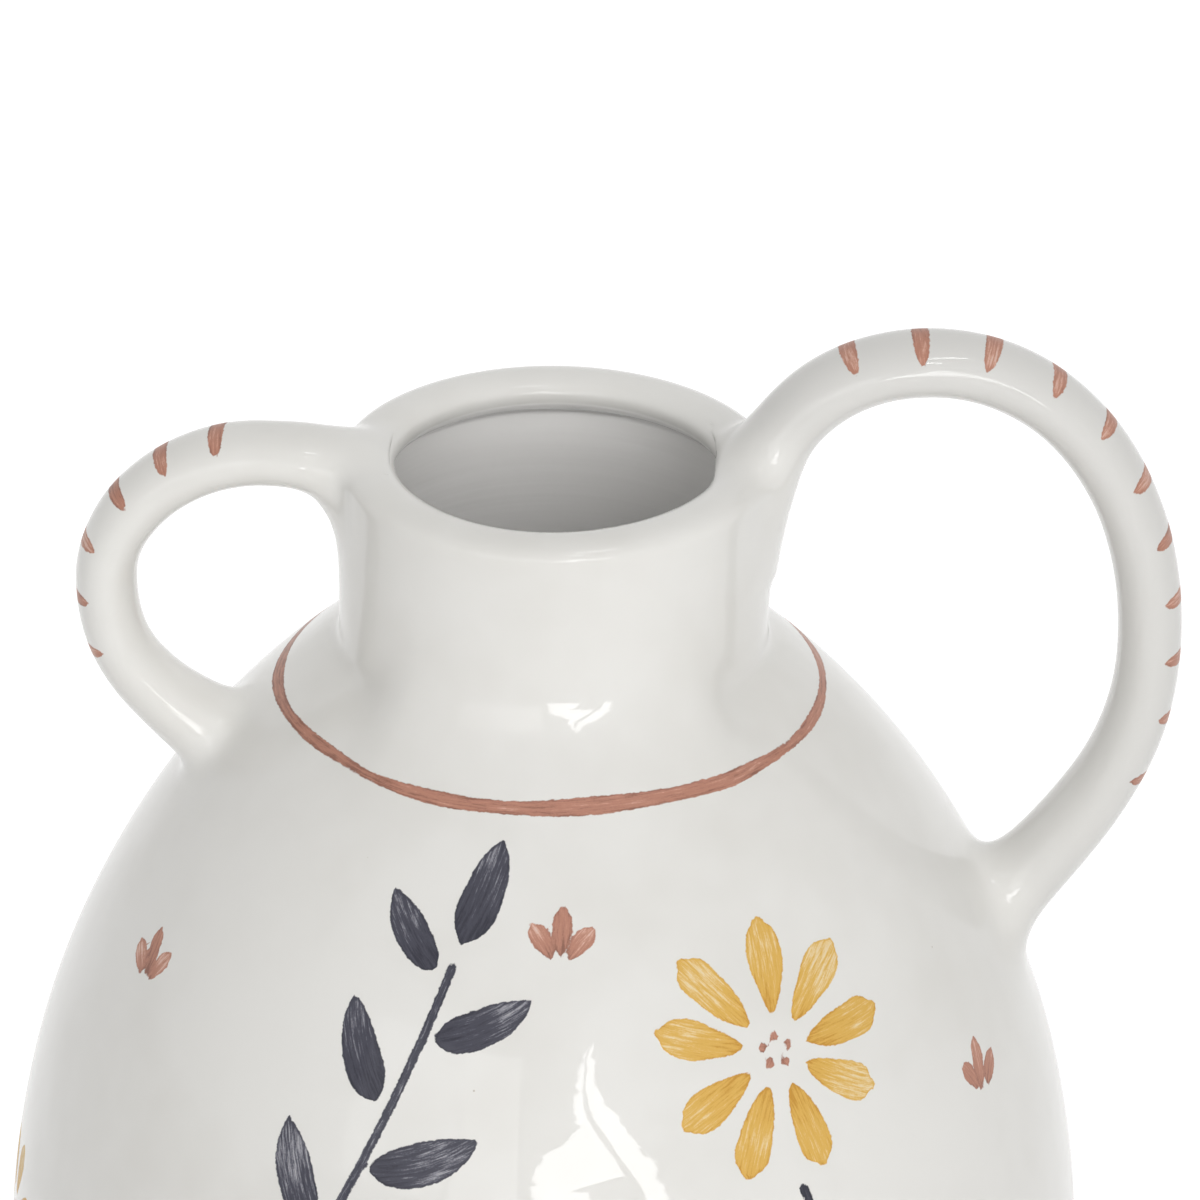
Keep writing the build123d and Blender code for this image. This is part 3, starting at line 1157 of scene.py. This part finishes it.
def add_camera():
    forward = Vector((0, math.cos(camera_down), -math.sin(camera_down)))
    right = Vector((1, 0, 0))
    up = right.cross(forward)
    c, s = math.cos(camera_roll), math.sin(camera_roll)
    rolled_right, rolled_up = c * right + s * up, c * up - s * right
    data = bpy.data.cameras.new("camera")
    data.lens = camera_lens
    data.sensor_width = 36.0
    data.clip_start = 0.05
    data.clip_end = 50.0
    turn = Matrix((rolled_right, rolled_up, -forward)).transposed().to_4x4()
    obj = placed("camera", data)
    obj.matrix_world = Matrix.Translation(camera_position) @ turn
    bpy.context.scene.camera = obj


add_camera()

# Light

jar_middle = Vector((0, 0, 0.2))


def direction(azimuth, elevation):
    """Unit vector from the jar, by degrees from the front towards the right, and above level."""
    a, e = math.radians(azimuth), math.radians(elevation)
    return Vector((math.sin(a) * math.cos(e), -math.cos(a) * math.cos(e), math.sin(e)))


def add_lamp(name, azimuth, elevation, distance, size, radiance):
    """A flat lamp that faces the jar. Its radiance is what it looks like from there, where white is 1."""
    data = bpy.data.lights.new(name, "AREA")
    data.shape = "RECTANGLE"
    data.size, data.size_y = size
    data.energy = radiance * math.pi * size[0] * size[1]
    away = direction(azimuth, elevation)
    turn = away.to_track_quat("Z", "Y").to_matrix().to_4x4()
    placed(name, data).matrix_world = Matrix.Translation(jar_middle + away * distance) @ turn


def add_stage(name, points, faces):
    """A plain mesh that stands round the jar and isn't part of it."""
    mesh = bpy.data.meshes.new(name)
    mesh.from_pydata(points, [], faces)
    obj = placed(name, mesh)
    n = Nodes(bpy.data.materials.new(name), keep=False)
    mesh.materials.append(n.owner)
    return obj, n


# Bright sky in the window, as seen from the jar: elevation, and the azimuths of the edges of its two panes
window_panes = (
    (7.0, -3.2, 11.0, 22.6, 26.6),
    (11.0, -3.1, 9.0, 21.2, 26.3),
    (11.9, -3.1, 5.4, 20.4, 26.0),
    (12.4, -3.0, 17.6, 19.8, 25.9),
    (14.2, -2.5, 15.7, 17.8, 25.2),
    (16.2, -1.1, 14.3, 16.0, 23.1),
    (17.2, 2.8, 13.2, 15.2, 22.0),
    (19.2, 6.1, 11.3, 13.5, 19.9),
    (21.6, 6.3, 9.2, 10.8, 17.8),
    (22.6, 6.3, 8.8, 10.2, 15.4),
    (23.6, 6.4, 8.6, 10.1, 13.5),
    (25.2, 6.9, 8.6, 9.5, 12.3),
    (27.0, 7.7, 9.1, 9.7, 11.9),
    (28.8, 8.7, 9.4, 9.8, 11.7),
    (30.3, 10.2, 10.3, 11.3, 11.5),
)
window_distance = 1.7
window_strength = 7.9
window_steps = 240
ragged_widths = (1.0, 0.2, 0.2, 1.0)  # how far each edge wanders, in degrees
ragged_run = 5  # steps over which it is evened out


def add_window():
    """The window that the belly mirrors, with a leaning bar and ragged edges. The camera never sees it."""
    table = np.array(window_panes)
    levels = np.linspace(table[0, 0], table[-1, 0], window_steps)
    edges = read_off(table[:, 1:], table[:, 0], levels)
    for i, width in enumerate(ragged_widths):
        jitter = rng.normal(0, 1, window_steps + ragged_run - 1)
        edges[:, i] += width * np.convolve(jitter, np.ones(ragged_run) / ragged_run, "valid")
    points, faces = [], []
    for left, right in ((0, 1), (2, 3)):
        start = len(points)
        for level, row in zip(levels, edges):
            points += [jar_middle + direction(row[i], level) * window_distance for i in (left, right)]
        corners = range(start, len(points) - 2, 2)
        faces += [(i, i + 1, i + 3, i + 2) for i in corners]
    obj, n = add_stage("window", points, faces)
    n.close("ShaderNodeOutputMaterial", n.add("ShaderNodeEmission", {"Strength": window_strength}))
    obj.visible_camera = False


# Broad lobes of light in the room: azimuth, elevation, tightness, and brightness at the middle
room_base = 0.2
room_colour = (1.0, 0.995, 0.985, 1)
room_lobes = (
    (18.0, 31.0, 14.0, 2.9),
    (105.0, 8.0, 3.0, 0.2),
    (150.0, 8.0, 3.0, 0.4),
    (-150.0, 8.0, 3.0, 0.55),
    (-105.0, 8.0, 3.0, 0.2),
    (180.0, 48.0, 4.0, 0.5),
)


def add_world():
    """White where it is seen, also in a mirror, and a room of soft light for all else."""
    n = Nodes(bpy.data.worlds.new("studio"), keep=False)
    facing = n.add("ShaderNodeTexCoord", {}, "Generated")
    light = room_base
    for azimuth, elevation, tightness, strength in room_lobes:
        values = {0: facing, 1: direction(azimuth, elevation)}
        towards = n.add("ShaderNodeVectorMath", values, "Value", operation="DOT_PRODUCT")
        lobe = n.math("POWER", n.math("MAXIMUM", towards, 0.0), tightness)
        light = n.math("MULTIPLY_ADD", lobe, strength, light)
    room = n.add("ShaderNodeBackground", {"Color": room_colour, "Strength": light})
    white = n.add("ShaderNodeBackground", {"Color": (1, 1, 1, 1), "Strength": 1.0})
    n.close("ShaderNodeOutputWorld", n.add("ShaderNodeMixShader", {0: n.looked_at(), 1: room, 2: white}))
    bpy.context.scene.world = n.owner


floor_half = 6.0
floor_paper = (0.82, 0.82, 0.82, 1)
floor_seen = (0.36, 0.36, 0.36, 1)
floor_glow = 0.84


def add_floor():
    """White paper, seen bright enough to run into the background, with the jar's shadow kept."""
    corners = [(x * floor_half, y * floor_half, 0) for x, y in ((-1, -1), (1, -1), (1, 1), (-1, 1))]
    n = add_stage("floor", corners, [(0, 1, 2, 3)])[1]
    paper = n.add("ShaderNodeBsdfDiffuse", {"Color": floor_paper})
    lit = n.add("ShaderNodeBsdfDiffuse", {"Color": floor_seen})
    glow = n.add("ShaderNodeEmission", {"Strength": floor_glow})
    both = n.add("ShaderNodeAddShader", {0: lit, 1: glow})
    n.close("ShaderNodeOutputMaterial", n.add("ShaderNodeMixShader", {0: n.looked_at(), 1: paper, 2: both}))


add_world()
add_floor()
add_window()
add_lamp("pale_near", -13.5, 19.0, 1.8, (0.42, 0.62), 1.6)
add_lamp("pale_far", -33.0, 19.0, 1.8, (0.72, 0.62), 1.0)
add_lamp("rim_back", 10.0, 56.0, 1.8, (0.16, 0.08), 14.0)
add_lamp("rim_front", 31.0, 71.5, 1.8, (0.45, 0.10), 9.0)

bpy.context.scene.view_settings.view_transform = "Standard"
